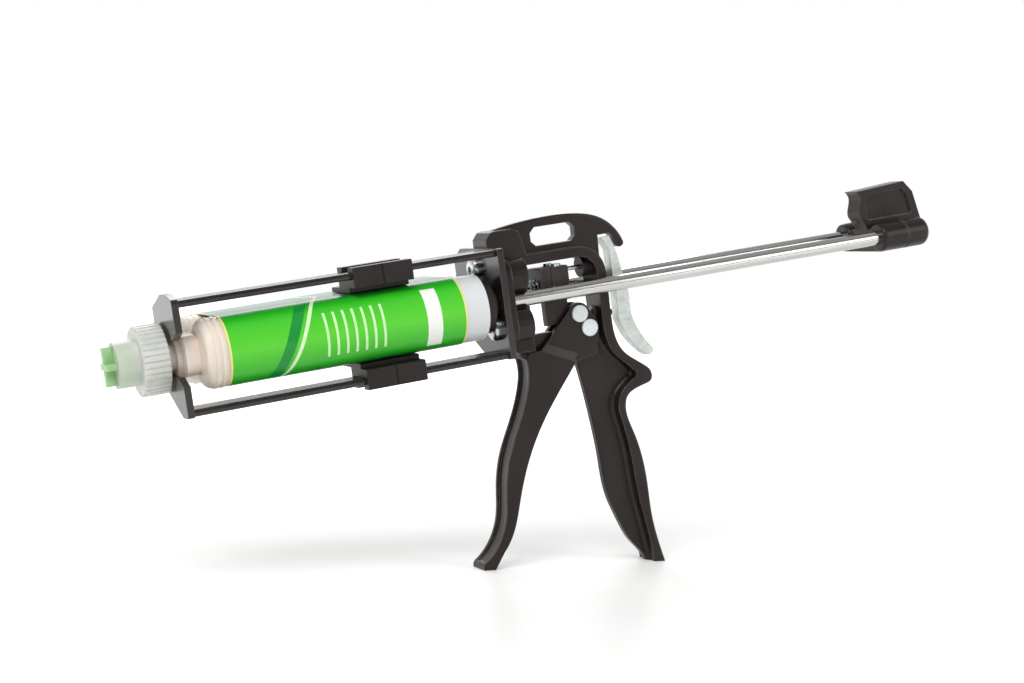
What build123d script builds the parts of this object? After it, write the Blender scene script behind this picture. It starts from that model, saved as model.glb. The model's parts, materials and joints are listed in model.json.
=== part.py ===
from build123d import *
import os
from math import atan2, cos, pi, sin, sqrt

# Twin-barrel cartridge gun, loaded, standing on its trigger toe and its handle foot.
# Sizes are millimetres. u runs rearward along the barrels from the front plate's front face,
# v runs to the far side from the middle plane, w runs up from the push rods' plane.

# Cartridge
barrel_od = 34.6
barrel_wall = 1.5
barrel_gap = 0.6
barrel_length = 149.0
barrel_end_wall = 2.5
barrel_shoulder_radius = 3.5
barrel_ridge_count = 2
barrel_ridge_height = 0.5
barrel_ridge_width = 1.4
barrel_ridge_pitch = 3.2
barrel_web_height = 9.0
manifold_width = 40.0
manifold_height = 21.0
manifold_length = 7.0
collar_od = 25.0
collar_length = 2.5
neck_od = 17.0
neck_reach = 10.4
outlet_bore = 4.2
outlet_offset = 4.4
label_thickness = 0.4
label_from_front = 10.5
label_from_rear = 12.5
label_gap = 0.05
piston_length = 13.5
piston_bore_gap = 0.35
piston_dish_depth = 3.0
piston_dish_diameter = 22.0
seal_wire = 2.2
seal_from_front = 4.0

# Retaining nut and outlet plug
nut_od = 35.5
nut_length = 13.3
nut_rib_count = 36
nut_groove_radius = 0.7
nut_collar_od = 23.4
nut_collar_length = 10.8
nut_plate_gap = 1.3
nut_edge_radius = 1.2
nut_front_wall = 2.4
plug_od = 14.0
plug_tab_height = 19.5
plug_tab_thickness = 3.2
plug_tab_reach = 5.0

# Carriage
plate_thickness = 3.5
plate_half_width = 30.0
plate_half_height = 29.0
plate_corner_width = 29.0
plate_corner_height = 15.0
plate_corner_radius = 2.0
rear_corner_height = 6.0
rear_corner_width = 10.0
neck_slot_gap = 0.7
slot_mouth_spread = 4.0
slot_mouth_depth = 9.0
ear_crown = 2.5
ear_crown_near = 9.5
ear_crown_far = 21.5
ear_far = 11.0
ear_shoulder = 25.0
ear_side = 6.0
ear_foot = 13.8
ear_heel = 10.0
plate_spine = 16.5
plate_spine_height = 11.0
barrel_rear_room = 10.3
bar_width = 19.0
bar_thickness = 3.6
bar_inset = 0.4
bar_place = -18.5
bar_edge_radius = 1.5
clip_length = 32.0
clip_from_front = 93.0
clip_wall = 2.4
clip_lip = 4.5
clip_saddle_width = 28.0
clip_saddle_place = -8.0
clip_saddle_thickness = 2.6
clip_seam_width = 1.0
clip_seam_depth = 0.8

# Plate screws
screw_head_diameter = 12.4
screw_head_height = 4.2
screw_shank = 6.0
screw_reach = 12.0
screw_drive_width = 4.0
screw_drive_depth = 2.2
top_screw_height = 18.4
boss_spread = 17.0
boss_height = 13.2
boss_diameter = 17.4
boss_length = 14.5
flange_thickness = 5.0
flange_half_width = 26.0
flange_half_height = 22.5
flange_radius = 8.0

# Push rods, plungers and yoke
rod_diameter = 8.0
rod_length = 272.0
bush_od = 13.0
plunger_od = 29.0
plunger_length = 10.0
plunger_entry = 4.0
plunger_hub_od = 13.0
plunger_edge = 1.2
plunger_screw_head = 9.0
plunger_screw_depth = 4.5
plunger_screw_shank = 4.0
plunger_screw_reach = 14.0
yoke_boss_od = 16.4
yoke_length = 32.0
yoke_socket_depth = 20.7
yoke_mouth_radius = 1.6
yoke_web_height = 12.7
yoke_cap_length = 16.3
yoke_cap_groove = 0.6
yoke_cap_groove_width = 1.2
yoke_grip_thickness = 12.0
yoke_panel_depth = 1.4
yoke_panel_radius = 1.5
yoke_end_radius = 4.0
yoke_screw_head = 7.0
yoke_screw_height = 3.0

# Frame casting, drawn from the rear plate's rear face: a thin web with a thick rim along its back
frame_half = 9.0
web_half = 2.6
rim_width = 5.4
rim_foot_radius = 2.0
window_front = 20.2
window_top = 16.6
window_floor = -21.4
window_corner = 10.0
spine_front = 62.2
spine_rear = 67.6
hang_window_length = 26.4
hang_window_height = 10.2
hang_window_corner = 2.8
hang_window_place = (41.8, 30.5)
frame_edge_radius = 2.2
web_edge_radius = 1.0
handle_drop = 157.0
foot_place = 77.0
stop_nub_height = -16.5
stop_nub_reach = 4.0
stop_nub_diameter = 4.6
stop_nub_half = 2.6

# Trigger
pivot_place = (54.7, -22.4)
drive_arm = (-4.8, 8.4)
recess_rise = 10.9
saddle_half = 2.5
saddle_rise = 4.7
saddle_foot = 6.4
toe_place = -21.0
toe_drop = 141.0
grip_half = 8.0
grip_wall = 2.4
grip_front_wall = 5.0
grip_edge_radius = 1.0
finger_groove_half = 5.4
finger_groove_depth = 1.4
cheek_half = 6.2
cheek_gap = 0.3
nose_radius = 6.0
heel_radius = 6.0
cheek_corner_radius = 0.8
pin_head_diameter = 9.3
pin_head_height = 1.5
pin_head_gap = 0.15
pin_head_chamfer = 0.3
pivot_pin_diameter = 6.0
drive_pin_diameter = 5.0
roller_diameter = 8.0
roller_side_gap = 0.25

# Drive block
block_front = 29.2
block_length = 16.5
block_half = 8.0
block_top = 13.4
block_floor = -5.0
block_corner_radius = 1.0
tongue_side_gap = 0.4
tongue_front = 32.0
block_groove_place = 5.4
block_groove_width = 2.0
block_groove_depth = 1.0
tongue_floor = -18.3
roller_gap = 0.35
pawl_half_height = 2.4
pawl_slot_gap = 0.2
pawl_screw_place = 39.8
pawl_screw_spread = 5.2
pawl_screw_shank = 3.2
pawl_screw_head = 5.2
pawl_screw_head_height = 1.4
pawl_tip_length = 9.0
pawl_width = 5.0
pawl_core_half = 2.4
pawl_screw_seat = 1.6
guide_pin_diameter = 2.4
guide_pin_height = 10.6
guide_bush_od = 11.5
guide_bush_length = 8.2
guide_bush_seat = 2.0
guide_bush_groove = 0.7
guide_bush_grooves = 3
guide_pin_overlap = 13.0
guide_pin_seat = 2.2

# Return spring
spring_wire = 0.9
spring_od = 7.4
spring_turns = 5
spring_height = 3.6
spring_pocket = 4.0
spring_seat_gap = 0.3

# Release lever
lever_half = 4.0
lever_sheet = 1.6

# Outlines, each point measured rearward from the rear plate and up from the rods
head_line = ((3.0, 36.6), (13.0, 38.3), (37.0, 40.4), (60.0, 39.2), (71.8, 35.3), (81.2, 26.4), (83.8, 20.8))
head_front = 33.0
hook_tip = ((81.0, 18.0), (78.4, 19.7))
hook_throat = ((77.2, 24.3), (75.6, 26.2))
spine_line = ((68.5, 26.2), (68.0, 15.0), (67.5, -12.0), (67.6, -23.0))
horn_line = ((68.4, -29.6), (71.6, -37.4), (78.2, -43.6), (85.6, -49.3))
horn_end = (86.0, -58.0)
palm_line = (
    (78.4, -59.9),
    (72.0, -63.5),
    (70.3, -68.5),
    (73.2, -83.7),
    (75.9, -95.5),
    (77.4, -115.0),
    (77.6, -130.0),
    (80.0, -147.5),
    (82.4, -158.5),
)
foot_line = ((82.4, -161.0), (74.0, -161.0))
handle_line = (
    (71.0, -151.5),
    (65.1, -143.3),
    (59.5, -130.6),
    (54.8, -116.0),
    (53.0, -93.1),
    (51.1, -72.1),
    (49.1, -56.2),
    (46.5, -40.3),
)
chin_line = ((40.0, -31.5), (21.2, -29.5), (0.0, -28.5))
gusset_line = ((3.1, 60.0), (3.1, 37.1), (15.8, 36.8), (19.1, 35.3), (20.3, 31.4), (22.2, 22.0))
horn_wall = ((62.0, -20.0), (62.5, -28.0), (65.2, -36.5), (70.5, -42.9), (76.6, -49.2))
horn_wall_end = ((78.3, -52.2), (75.8, -54.2))
palm_wall = (
    (72.3, -56.5),
    (68.0, -60.2),
    (65.2, -66.5),
    (65.9, -75.4),
    (68.0, -86.9),
    (69.3, -103.9),
    (70.6, -121.0),
    (72.5, -133.8),
    (74.6, -151.0),
    (75.2, -166.0),
)
grip_front = (
    (14.6, -33.5),
    (15.0, -41.6),
    (12.9, -50.5),
    (5.9, -66.8),
    (-1.7, -82.0),
    (-6.6, -100.0),
    (-9.4, -117.0),
    (-14.9, -128.0),
    (-24.2, -136.7),
)
grip_toe = ((-25.6, -139.6), (-23.5, -142.6), (-20.0, -142.6))
grip_back = (
    (-12.6, -133.0),
    (-6.0, -124.1),
    (0.7, -106.4),
    (8.9, -86.2),
    (19.1, -69.1),
    (31.6, -53.3),
    (43.8, -39.1),
)
grip_crown = ((23.7, -30.1), (17.6, -30.1))
grip_hollow = ((30.0, -20.0), (22.0, -34.0))
neck_corners = ((28.6, -27.9), (24.5, -32.0), (41.5, -38.8), (56.5, -36.6))
facet_top = ((27.9, -27.1), (46.1, -35.0), (41.0, -40.5), (20.0, -36.0))
facet_foot = ((23.7, -30.1), (42.2, -38.9), (41.0, -40.5), (20.0, -36.0))
lever_face = ((69.9, 24.6), (73.9, 17.0), (73.9, 3.0), (75.0, -3.0), (74.6, -17.0), (74.4, -21.0))
lever_tail = ((78.6, -31.0), (90.0, -44.0))
lever_back = ((94.0, -41.2), (86.0, -29.5), (82.4, -19.6))
lever_crown = ((82.0, -3.0), (80.2, 3.0), (78.1, 14.0), (76.6, 20.0), (74.6, 24.9))
lever_floor = ((75.5, 15.0), (75.5, 3.5), (76.6, -2.6), (76.2, -17.0), (76.0, -20.6))
lever_trough = ((80.2, -30.3), (91.4, -42.9))
lever_mouth = ((99.0, -40.0), (99.0, 15.0))
yoke_blade = ((2.0, -8.2), (36.5, -8.2), (39.2, -5.5), (39.4, 6.7), (35.8, 22.5), (30.2, 29.2), (-2.9, 27.2))
yoke_fingers = ((-1.2, 19.4), (-2.5, 14.9), (-1.0, 10.6))
yoke_throat = (2.0, 4.0)
yoke_panel = ((3.0, 10.0), (34.0, 10.0), (31.8, 20.6), (28.4, 25.2), (2.0, 23.4))

# Clearances
running_gap = 0.06
bore_gap = 0.3
rod_side_gap = 0.4

# Places that follow from the sizes above
barrel_radius = barrel_od / 2
barrel_bore = barrel_od - 2 * barrel_wall
barrel_offset = (barrel_od + barrel_gap) / 2
barrel_front = plate_thickness + collar_length + manifold_length
barrel_rear = barrel_front + barrel_length
carriage_span = barrel_rear + barrel_rear_room
label_radius = barrel_radius + label_thickness
label_front = barrel_front + label_from_front
label_length = barrel_length - label_from_front - label_from_rear
rod_radius = rod_diameter / 2
bar_outer = plate_half_height - bar_inset
bar_inner = bar_outer - bar_thickness
frame_front = carriage_span + plate_thickness
plunger_front = barrel_rear - plunger_entry
plunger_rear = plunger_front + plunger_length
piston_front = plunger_front - piston_length
rod_front = plunger_front + plunger_screw_depth
rod_rear = rod_front + rod_length
yoke_rear = rod_rear + yoke_length - yoke_socket_depth
yoke_front = yoke_rear - yoke_length
yoke_screw_seat = yoke_rear - yoke_screw_height - bore_gap
drive_place = (pivot_place[0] + drive_arm[0], pivot_place[1] + drive_arm[1])
tongue_rear = drive_place[0] - roller_diameter / 2 - roller_gap
cheek_inner = web_half + cheek_gap
tongue_half = cheek_inner - tongue_side_gap
grip_inner = grip_half - grip_wall
guide_bush_rear = spine_front + guide_bush_seat
guide_pin_front = block_front + block_length - guide_pin_overlap

# The floor touches the handle's foot and the trigger's toe, which sets how far the nose dips
stand_tilt = atan2(handle_drop - toe_drop, foot_place - toe_place)
axis_dir = Vector(cos(stand_tilt), 0, sin(stand_tilt))
up_dir = Vector(-sin(stand_tilt), 0, cos(stand_tilt))
far_dir = Vector(0, 1, 0)
near_dir = Vector(0, -1, 0)
gun_origin = up_dir * handle_drop - axis_dir * (frame_front + foot_place)

os.makedirs("parts", exist_ok=True)


def point(u, w, v=0):
    return gun_origin + axis_dir * u + up_dir * w + far_dir * v


def side_plane(u=0, v=0):
    return Plane(point(u, 0, v), x_dir=axis_dir, z_dir=near_dir)


def cross_plane(u, v=0, w=0):
    return Plane(point(u, w, v), x_dir=far_dir, z_dir=axis_dir)


def deck_plane(w, u=0, v=0):
    return Plane(point(u, w, v), x_dir=axis_dir, z_dir=up_dir)


def save(piece, name):
    piece.part.label = name
    export_step(piece.part, f"parts/{name}.step")


frame_side = side_plane(frame_front)


# Front plate, slotted from the near side for the cartridge neck
slot_half = neck_od / 2 + neck_slot_gap
with BuildPart() as front_plate:
    with BuildSketch(cross_plane(0)):
        with BuildLine():
            Polyline(
                (-plate_half_width, -plate_half_height),
                (ear_heel - plate_half_width, -plate_half_height),
                (ear_far, -ear_foot),
                (plate_spine, -plate_spine_height),
                (plate_spine, plate_spine_height),
                (ear_far, ear_shoulder - ear_side),
                (ear_far, ear_shoulder),
                (ear_crown_far - plate_half_width, plate_half_height + ear_crown),
                (ear_crown_near - plate_half_width, plate_half_height + ear_crown),
                (-plate_half_width, plate_half_height),
                close=True,
            )
        make_face()
        fillet(vertices(), plate_corner_radius)
        Circle(slot_half, mode=Mode.SUBTRACT)
        with Locations((-plate_half_width / 2, 0)):
            Rectangle(plate_half_width, 2 * slot_half, mode=Mode.SUBTRACT)
        with BuildLine():
            Polyline(
                (-plate_half_width, -slot_half - slot_mouth_spread),
                (slot_mouth_depth - plate_half_width, -slot_half),
                (slot_mouth_depth - plate_half_width, slot_half),
                (-plate_half_width, slot_half + slot_mouth_spread),
                close=True,
            )
        make_face(mode=Mode.SUBTRACT)
    extrude(amount=plate_thickness)
save(front_plate, "front_plate")

# Rear plate, bored for the rods and screwed to the frame's flange
screw_places = [
    (0, top_screw_height),
    (-boss_spread, -boss_height),
    (boss_spread, -boss_height),
]
rod_places = [(-barrel_offset, 0), (barrel_offset, 0)]
with BuildPart() as rear_plate:
    with BuildSketch(cross_plane(carriage_span)):
        with BuildLine():
            Polyline(
                (-plate_half_width, -plate_half_height),
                (plate_half_width - plate_corner_width, -plate_half_height),
                (plate_half_width, plate_corner_height - plate_half_height),
                (plate_half_width, plate_half_height - rear_corner_height),
                (plate_half_width - rear_corner_width, plate_half_height),
                (-plate_half_width, plate_half_height),
                close=True,
            )
        make_face()
        fillet(vertices(), plate_corner_radius)
        with Locations(*rod_places):
            Circle(rod_radius + bore_gap, mode=Mode.SUBTRACT)
        with Locations(*screw_places):
            Circle(screw_shank / 2 + running_gap, mode=Mode.SUBTRACT)
    extrude(amount=plate_thickness)
save(rear_plate, "rear_plate")

# Flat bars with rolled edges that tie the two plates together
for name, height in (("upper_bar", bar_inner), ("lower_bar", -bar_outer)):
    with BuildPart() as bar:
        with BuildSketch(cross_plane(plate_thickness, bar_place)):
            with Locations((0, height)):
                Rectangle(bar_width, bar_thickness, align=(Align.CENTER, Align.MIN))
            fillet(vertices(), bar_edge_radius)
        extrude(amount=carriage_span - plate_thickness)
    save(bar, name)

# Moulded clips, hooked round the bars with a foot on the cartridge
saddle_floor = label_radius + bore_gap
saddle_top = saddle_floor + clip_saddle_thickness
clip_half = bar_width / 2 + running_gap + clip_wall
clip_top = bar_outer + running_gap + clip_wall
for name, sign in (("upper_clip", 1), ("lower_clip", -1)):
    with BuildPart() as clip:
        with BuildSketch(cross_plane(clip_from_front)):
            with Locations((bar_place, sign * (saddle_top + clip_top) / 2)):
                Rectangle(2 * clip_half, clip_top - saddle_top)
            with Locations((clip_saddle_place, sign * (saddle_floor + saddle_top) / 2)):
                Rectangle(clip_saddle_width, clip_saddle_thickness)
            fillet(vertices(), clip_saddle_thickness / 4)
            with Locations((bar_place, sign * (bar_inner + bar_outer) / 2)):
                RectangleRounded(
                    bar_width + 2 * running_gap,
                    bar_thickness + 2 * running_gap,
                    bar_edge_radius + running_gap,
                    mode=Mode.SUBTRACT,
                )
            with Locations((bar_place, sign * clip_top)):
                Rectangle(bar_width - 2 * clip_lip, 2 * (clip_top - bar_outer), mode=Mode.SUBTRACT)
        extrude(amount=clip_length)
        with BuildSketch(side_plane(clip_from_front + clip_length / 2, bar_place - clip_half)):
            with Locations((0, sign * (saddle_top + clip_top) / 2)):
                Rectangle(clip_seam_width, clip_top - saddle_top)
        extrude(amount=-clip_seam_depth, mode=Mode.SUBTRACT)
    save(clip, name)

# Pan-head screws with a hexagon socket
with BuildPart() as plate_screws:
    with BuildSketch(cross_plane(carriage_span)):
        with Locations(*screw_places):
            Circle(screw_head_diameter / 2)
    extrude(amount=-screw_head_height)
    fillet(plate_screws.faces().sort_by(Axis(point(0, 0), axis_dir))[:3].edges(), screw_head_height * 0.6)
    with BuildSketch(cross_plane(carriage_span)):
        with Locations(*screw_places):
            Circle(screw_shank / 2)
    extrude(amount=screw_reach)
    with BuildSketch(cross_plane(carriage_span - screw_head_height)):
        with Locations(*screw_places):
            RegularPolygon(screw_drive_width / 2, 6)
    extrude(amount=screw_drive_depth, mode=Mode.SUBTRACT)
save(plate_screws, "plate_screws")


# Frame casting: flange, head with hang window, spine, hook, horn and handle in one piece
def window_outline():
    roof = Line((window_front, window_top), (spine_front - window_corner, window_top))
    corner = TangentArc(roof @ 1, (spine_front, window_top - window_corner), tangent=roof % 1)
    Polyline(
        corner @ 1,
        (spine_front, pivot_place[1] + recess_rise),
        (pivot_place[0] - saddle_half, pivot_place[1] + saddle_rise),
        (pivot_place[0] - saddle_foot, window_floor),
        (window_front, window_floor),
        roof @ 0,
    )


def frame_outline():
    top = Spline(*head_line)
    hook = ThreePointArc(top @ 1, *hook_tip)
    throat = Polyline(hook @ 1, *hook_throat, *spine_line)
    horn = Spline(throat @ 1, *horn_line)
    tip = TangentArc(horn @ 1, horn_end, tangent=horn % 1)
    palm = Spline(tip @ 1, *palm_line)
    foot = Polyline(palm @ 1, *foot_line)
    front = Spline(foot @ 1, *handle_line)
    Polyline(front @ 1, *chin_line, (0, head_front), top @ 0)


def head_panel():
    gusset = Polyline(*gusset_line)
    roof = Line(gusset @ 1, (spine_front - window_corner, window_top + rim_width))
    corner = TangentArc(roof @ 1, (spine_front + rim_width, window_top - window_corner), tangent=roof % 1)
    outer = 2 * spine_front
    Polyline(corner @ 1, (outer, window_top - window_corner), (outer, gusset_line[0][1]), gusset @ 0)


def handle_panel():
    horn = Spline(*horn_wall)
    tip = ThreePointArc(horn @ 1, *horn_wall_end)
    palm = Spline(tip @ 1, *palm_wall)
    recess_top = pivot_place[1] + recess_rise
    Polyline(
        palm @ 1,
        (-foot_place, palm_wall[-1][1]),
        (-foot_place, chin_line[-1][1] * 2),
        (window_front, chin_line[-1][1] * 2),
        (window_front, recess_top),
        (spine_front, recess_top),
        horn @ 0,
    )


def edges_at(piece, places, half):
    return [
        piece.edges().sort_by_distance(point(frame_front + place, height, side))[0]
        for place, height in places
        for side in (-half, half)
    ]


rim_feet = (horn_wall[2], horn_wall_end[0], palm_wall[5])
with BuildPart() as main_frame:
    with BuildSketch(frame_side):
        with BuildLine():
            frame_outline()
        make_face()
    extrude(amount=frame_half, both=True)
    back_edges = main_frame.edges().filter_by(GeomType.BSPLINE).sort_by(Axis(point(0, 0), axis_dir))[-4:]
    fillet(back_edges, frame_edge_radius)
    # Thin web in the head, round the pivot and in the handle, with a thick rim left along the back
    for sign in (-1, 1):
        with BuildSketch(side_plane(frame_front, sign * web_half)):
            with BuildLine():
                head_panel()
            make_face()
            with BuildLine():
                handle_panel()
            make_face()
        extrude(amount=-sign * 2 * frame_half, mode=Mode.SUBTRACT)
    fillet(edges_at(main_frame, rim_feet, web_half), rim_foot_radius)
    fillet(edges_at(main_frame, (head_line[3], handle_line[4]), web_half), web_edge_radius)
    # Flange and bosses behind the rear plate
    with BuildSketch(cross_plane(frame_front)):
        RectangleRounded(2 * flange_half_width, 2 * flange_half_height, flange_radius)
    extrude(amount=flange_thickness)
    with BuildSketch(cross_plane(frame_front)):
        with GridLocations(2 * boss_spread, 2 * boss_height, 2, 2):
            Circle(boss_diameter / 2)
    extrude(amount=boss_length)
    # Main window and hang window
    with BuildSketch(frame_side):
        with BuildLine():
            window_outline()
        make_face()
        with Locations(hang_window_place):
            hang_window = Rectangle(hang_window_length, hang_window_height)
        chamfer(hang_window.vertices(), hang_window_corner)
    extrude(amount=2 * frame_half, both=True, mode=Mode.SUBTRACT)
    # Rod bush seats, screw holes, pivot bore and the guide bush's seat
    with BuildSketch(cross_plane(frame_front)):
        with Locations(*rod_places):
            Circle(bush_od / 2)
    extrude(amount=flange_thickness, mode=Mode.SUBTRACT)
    with BuildSketch(cross_plane(frame_front + flange_thickness)):
        with Locations(*rod_places):
            Circle(rod_radius + rod_side_gap)
    extrude(amount=boss_length, mode=Mode.SUBTRACT)
    with BuildSketch(cross_plane(frame_front)):
        with Locations(*screw_places):
            Circle(screw_shank / 2 + running_gap)
    extrude(amount=screw_reach, mode=Mode.SUBTRACT)
    with BuildSketch(frame_side):
        with Locations(pivot_place):
            Circle(pivot_pin_diameter / 2 + running_gap)
    extrude(amount=2 * frame_half, both=True, mode=Mode.SUBTRACT)
    with BuildSketch(cross_plane(frame_front + guide_bush_rear, 0, guide_pin_height)):
        Circle(guide_bush_od / 2 + running_gap)
    extrude(amount=-2 * guide_bush_length, mode=Mode.SUBTRACT)
    with BuildSketch(cross_plane(frame_front + guide_bush_rear, 0, guide_pin_height)):
        Circle(guide_pin_diameter / 2 + running_gap)
    extrude(amount=guide_pin_seat, mode=Mode.SUBTRACT)
    # Stop nub for the release lever
    with BuildSketch(frame_side):
        with Locations((spine_front, stop_nub_height)):
            Rectangle(
                spine_rear + stop_nub_reach - stop_nub_diameter / 2 - spine_front,
                stop_nub_diameter,
                align=(Align.MIN, Align.CENTER),
            )
        with Locations((spine_rear + stop_nub_reach - stop_nub_diameter / 2, stop_nub_height)):
            Circle(stop_nub_diameter / 2)
    extrude(amount=stop_nub_half, both=True)
    # Foot flat
    split(bisect_by=Plane.XY, keep=Keep.TOP)
save(main_frame, "main_frame")

# Plain bushes that carry the rods in the flange
with BuildPart() as rod_bushes:
    with BuildSketch(cross_plane(frame_front)):
        with Locations(*rod_places):
            Circle(bush_od / 2)
            Circle(rod_radius + running_gap, mode=Mode.SUBTRACT)
    extrude(amount=flange_thickness)
save(rod_bushes, "rod_bushes")


# Trigger: rounded grip, hollow behind, with two cheeks that straddle the frame's web
with BuildPart() as trigger:
    with BuildSketch(frame_side):
        with BuildLine():
            front_line = Spline(*grip_front)
            toe = ThreePointArc(front_line @ 1, *grip_toe[:2])
            back_line = Spline(*grip_back)
            Polyline(toe @ 1, grip_toe[2], back_line @ 0)
            Polyline(back_line @ 1, *grip_crown, front_line @ 0)
        make_face()
    extrude(amount=grip_half, both=True)
    edges_by_place = trigger.edges().filter_by(GeomType.BSPLINE).sort_by(Axis(point(0, 0), axis_dir))
    fillet(edges_by_place[:2], grip_edge_radius)
    # Finger groove down the front, between two rims
    with BuildSketch(frame_side):
        with BuildLine():
            groove_line = Spline(*[(place + finger_groove_depth, height) for place, height in grip_front])
            Polyline(
                groove_line @ 1,
                (-foot_place, grip_front[-1][1]),
                (-foot_place, grip_front[0][1]),
                groove_line @ 0,
            )
        make_face()
    extrude(amount=finger_groove_half, both=True, mode=Mode.SUBTRACT)
    # Hollow behind the front wall, open to the rear
    with BuildSketch(frame_side):
        with BuildLine():
            wall_line = Spline(*[(place + grip_front_wall, height) for place, height in grip_front[1:7]])
            Polyline(
                wall_line @ 1,
                (foot_place, grip_front[6][1]),
                (foot_place, grip_hollow[0][1]),
                *grip_hollow,
                wall_line @ 0,
            )
        make_face()
    extrude(amount=grip_inner, both=True, mode=Mode.SUBTRACT)
    for sign in (-1, 1):
        # Cheek, with the neck that joins it to the grip
        with BuildSketch(side_plane(frame_front, sign * cheek_inner)):
            with Locations(drive_place):
                Circle(nose_radius)
            with Locations(pivot_place):
                Circle(heel_radius)
            with Locations(*neck_corners):
                Circle(cheek_corner_radius)
            make_hull()
        extrude(amount=-sign * (cheek_half - cheek_inner))
        # Facet that widens the cheek to the grip
        with BuildSketch(side_plane(frame_front, sign * cheek_half)):
            with BuildLine():
                Polyline(*facet_top, close=True)
            make_face()
        with BuildSketch(side_plane(frame_front, sign * grip_half)):
            with BuildLine():
                Polyline(*facet_foot, close=True)
            make_face()
        loft(ruled=True)
    with BuildSketch(frame_side):
        with Locations(pivot_place):
            Circle(pivot_pin_diameter / 2 + running_gap)
        with Locations(drive_place):
            Circle(drive_pin_diameter / 2)
    extrude(amount=2 * frame_half, both=True, mode=Mode.SUBTRACT)
    split(bisect_by=Plane.XY, keep=Keep.TOP)
save(trigger, "trigger")


# Headed pins, riveted alike at both ends
def headed_pin(name, place, shank, grip_length):
    with BuildPart() as pin:
        with BuildSketch(frame_side):
            with Locations(place):
                Circle(shank / 2)
        extrude(amount=grip_length, both=True)
        for sign in (-1, 1):
            with BuildSketch(side_plane(frame_front, sign * grip_length)):
                with Locations(place):
                    Circle(pin_head_diameter / 2)
            extrude(amount=-sign * pin_head_height)
        rims = pin.faces().sort_by(Axis.Y)
        chamfer([rims[0].edges(), rims[-1].edges()], pin_head_chamfer)
    save(pin, name)


headed_pin("trigger_pivot_pin", pivot_place, pivot_pin_diameter, cheek_half + pin_head_gap)
headed_pin("drive_pin", drive_place, drive_pin_diameter, cheek_half)

with BuildPart() as drive_roller:
    with BuildSketch(frame_side):
        with Locations(drive_place):
            Circle(roller_diameter / 2)
            Circle(drive_pin_diameter / 2 + running_gap, mode=Mode.SUBTRACT)
    extrude(amount=cheek_inner - roller_side_gap, both=True)
save(drive_roller, "drive_roller")

# Drive block: slides in the window, carries two pawls and hangs a tongue before the roller
pawl_places = [(pawl_screw_place, -pawl_screw_spread), (pawl_screw_place, pawl_screw_spread)]
spring_pocket_radius = spring_od / 2 + spring_seat_gap
with BuildPart() as drive_block:
    with BuildSketch(frame_side):
        with Locations((block_front, block_floor)):
            Rectangle(block_length, block_top - block_floor, align=(Align.MIN, Align.MIN))
        fillet(vertices(), block_corner_radius)
    extrude(amount=block_half, both=True)
    with BuildSketch(frame_side):
        with Locations((tongue_front, tongue_floor)):
            Rectangle(
                tongue_rear - tongue_front,
                block_floor - tongue_floor + block_corner_radius,
                align=(Align.MIN, Align.MIN),
            )
    extrude(amount=tongue_half, both=True)
    # Grooves down its sides, slot for the pawls, bores for their screws, guide bore and spring pocket
    for sign in (-1, 1):
        with BuildSketch(side_plane(frame_front, sign * (block_half - block_groove_depth))):
            with Locations((block_front + block_groove_place, block_floor)):
                Rectangle(block_groove_width, block_top - block_floor, align=(Align.MIN, Align.MIN))
        extrude(amount=-sign * block_half, mode=Mode.SUBTRACT)
    with BuildSketch(deck_plane(-pawl_half_height - pawl_slot_gap, frame_front)):
        with Locations((block_front, 0)):
            Rectangle(block_length, 2 * block_half, align=(Align.MIN, Align.CENTER))
        with Locations((block_front + block_length / 2, 0)):
            Rectangle(block_length, 2 * pawl_core_half, mode=Mode.SUBTRACT)
    extrude(amount=2 * (pawl_half_height + pawl_slot_gap), mode=Mode.SUBTRACT)
    with BuildSketch(deck_plane(block_top, frame_front)):
        with Locations(*pawl_places):
            Circle(pawl_screw_shank / 2 + running_gap)
    extrude(amount=-(block_top + pawl_half_height + pawl_screw_seat), mode=Mode.SUBTRACT)
    with BuildSketch(cross_plane(frame_front + block_front + block_length, 0, guide_pin_height)):
        Circle(guide_pin_diameter / 2 + running_gap)
    extrude(amount=-guide_pin_overlap - bore_gap, mode=Mode.SUBTRACT)
    with BuildSketch(cross_plane(frame_front + block_front, 0, spring_height)):
        Circle(spring_pocket_radius)
    extrude(amount=spring_pocket, mode=Mode.SUBTRACT)
save(drive_block, "drive_block")

# Pawls, one for each rod, on screws through the block
pawl_tip = barrel_offset - rod_radius - rod_side_gap
with BuildPart() as drive_pawls:
    with BuildSketch(deck_plane(-pawl_half_height, frame_front)):
        for sign in (-1, 1):
            with BuildLine():
                Polyline(
                    (pawl_screw_place - pawl_tip_length, sign * pawl_tip),
                    (pawl_screw_place + pawl_width / 2, sign * (pawl_screw_spread + pawl_width / 2)),
                    (pawl_screw_place + pawl_width / 2, sign * (pawl_screw_spread - pawl_width / 2)),
                    (pawl_screw_place - pawl_width / 2, sign * (pawl_screw_spread - pawl_width / 2)),
                    (pawl_screw_place - pawl_tip_length, sign * (pawl_tip - pawl_width / 2)),
                    close=True,
                )
            make_face()
        with Locations(*pawl_places):
            Circle(pawl_screw_shank / 2 + running_gap, mode=Mode.SUBTRACT)
    extrude(amount=2 * pawl_half_height)
save(drive_pawls, "drive_pawls")

with BuildPart() as pawl_screws:
    with BuildSketch(deck_plane(block_top, frame_front)):
        with Locations(*pawl_places):
            Circle(pawl_screw_shank / 2)
    extrude(amount=-(block_top + pawl_half_height + pawl_screw_seat))
    with BuildSketch(deck_plane(block_top, frame_front)):
        with Locations(*pawl_places):
            Circle(pawl_screw_head / 2)
    extrude(amount=pawl_screw_head_height)
save(pawl_screws, "pawl_screws")

# Guide pin behind the block, in a ribbed bush seated in the spine
with BuildPart() as guide_pin:
    with BuildSketch(cross_plane(frame_front + guide_pin_front, 0, guide_pin_height)):
        Circle(guide_pin_diameter / 2)
    extrude(amount=guide_bush_rear + guide_pin_seat - guide_pin_front)
save(guide_pin, "guide_pin")

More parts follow.
